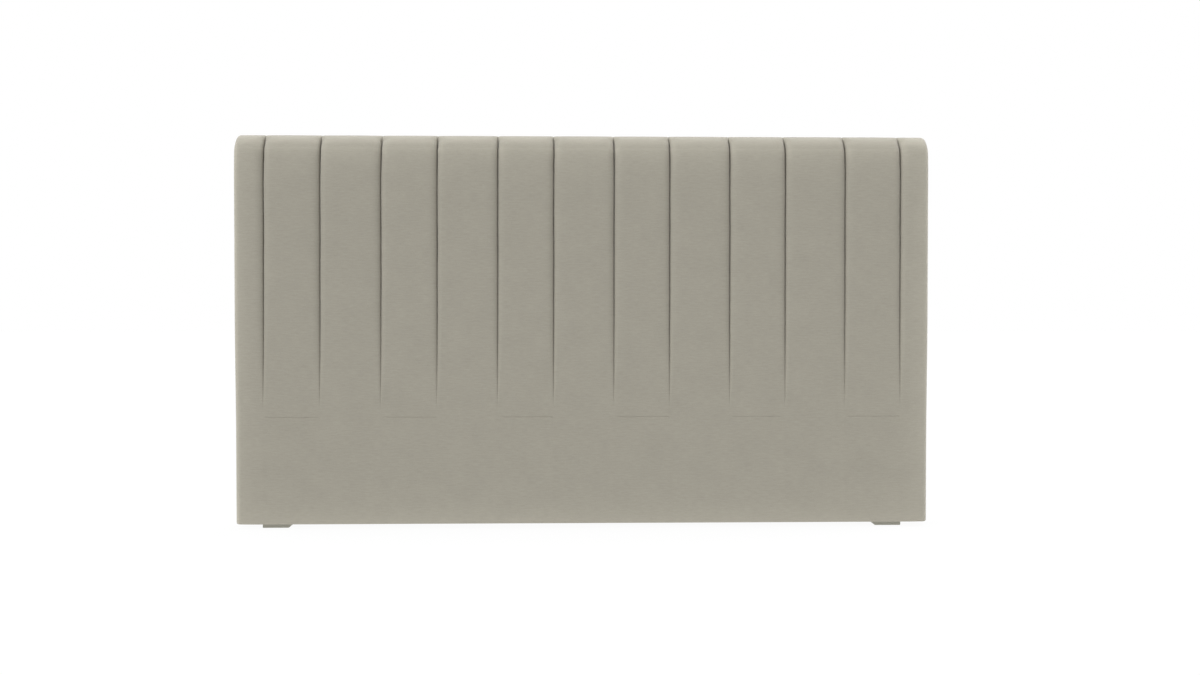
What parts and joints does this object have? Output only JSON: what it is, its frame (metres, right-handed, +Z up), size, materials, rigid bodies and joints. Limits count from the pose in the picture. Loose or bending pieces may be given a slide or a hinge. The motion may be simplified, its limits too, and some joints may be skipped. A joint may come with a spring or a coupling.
{
  "type": "upholstered headboard",
  "caption": "Floor-standing upholstered headboard with vertical sewn channels over a padded timber frame, low feet and threaded inserts in the back.",
  "frame": {"origin": "on the floor, in the middle of the width and of the depth", "axes": "+X across the width, to the right as seen from the front; +Y from the padded front to the back; +Z up"},
  "size_m": [1.8, 0.1, 1.018],
  "materials": {
    "cover_fabric": "matte",
    "wadding": "matte",
    "foam": "matte",
    "board": "satin",
    "softwood": "matte",
    "beech": "matte",
    "zinc_steel": "satin",
    "lining": "matte",
    "foot_plastic": "satin"
  },
  "bodies": {
    "root": {"cover_main": "cover_fabric", "channel_strip_1": "cover_fabric", "channel_strip_2": "cover_fabric", "channel_strip_3": "cover_fabric", "channel_strip_4": "cover_fabric", "channel_strip_5": "cover_fabric", "channel_strip_6": "cover_fabric", "wadding": "wadding", "foam_face": "foam", "foam_top": "foam", "foam_side_left": "foam", "foam_side_right": "foam", "front_board": "board", "stile_left": "softwood", "stile_right": "softwood", "top_rail": "softwood", "middle_rail": "softwood", "bottom_rail": "softwood", "lower_post_left": "softwood", "lower_post_right": "softwood", "upper_post_left": "softwood", "upper_post_right": "softwood", "corner_blocks": "softwood", "dowels": "beech", "board_screws": "zinc_steel", "foot_screws": "zinc_steel", "insert_nuts": "zinc_steel", "cover_staples": "zinc_steel", "lining_staples": "zinc_steel", "back_lining": "lining", "foot_left": "foot_plastic", "foot_right": "foot_plastic"}
  },
  "joints": []
}
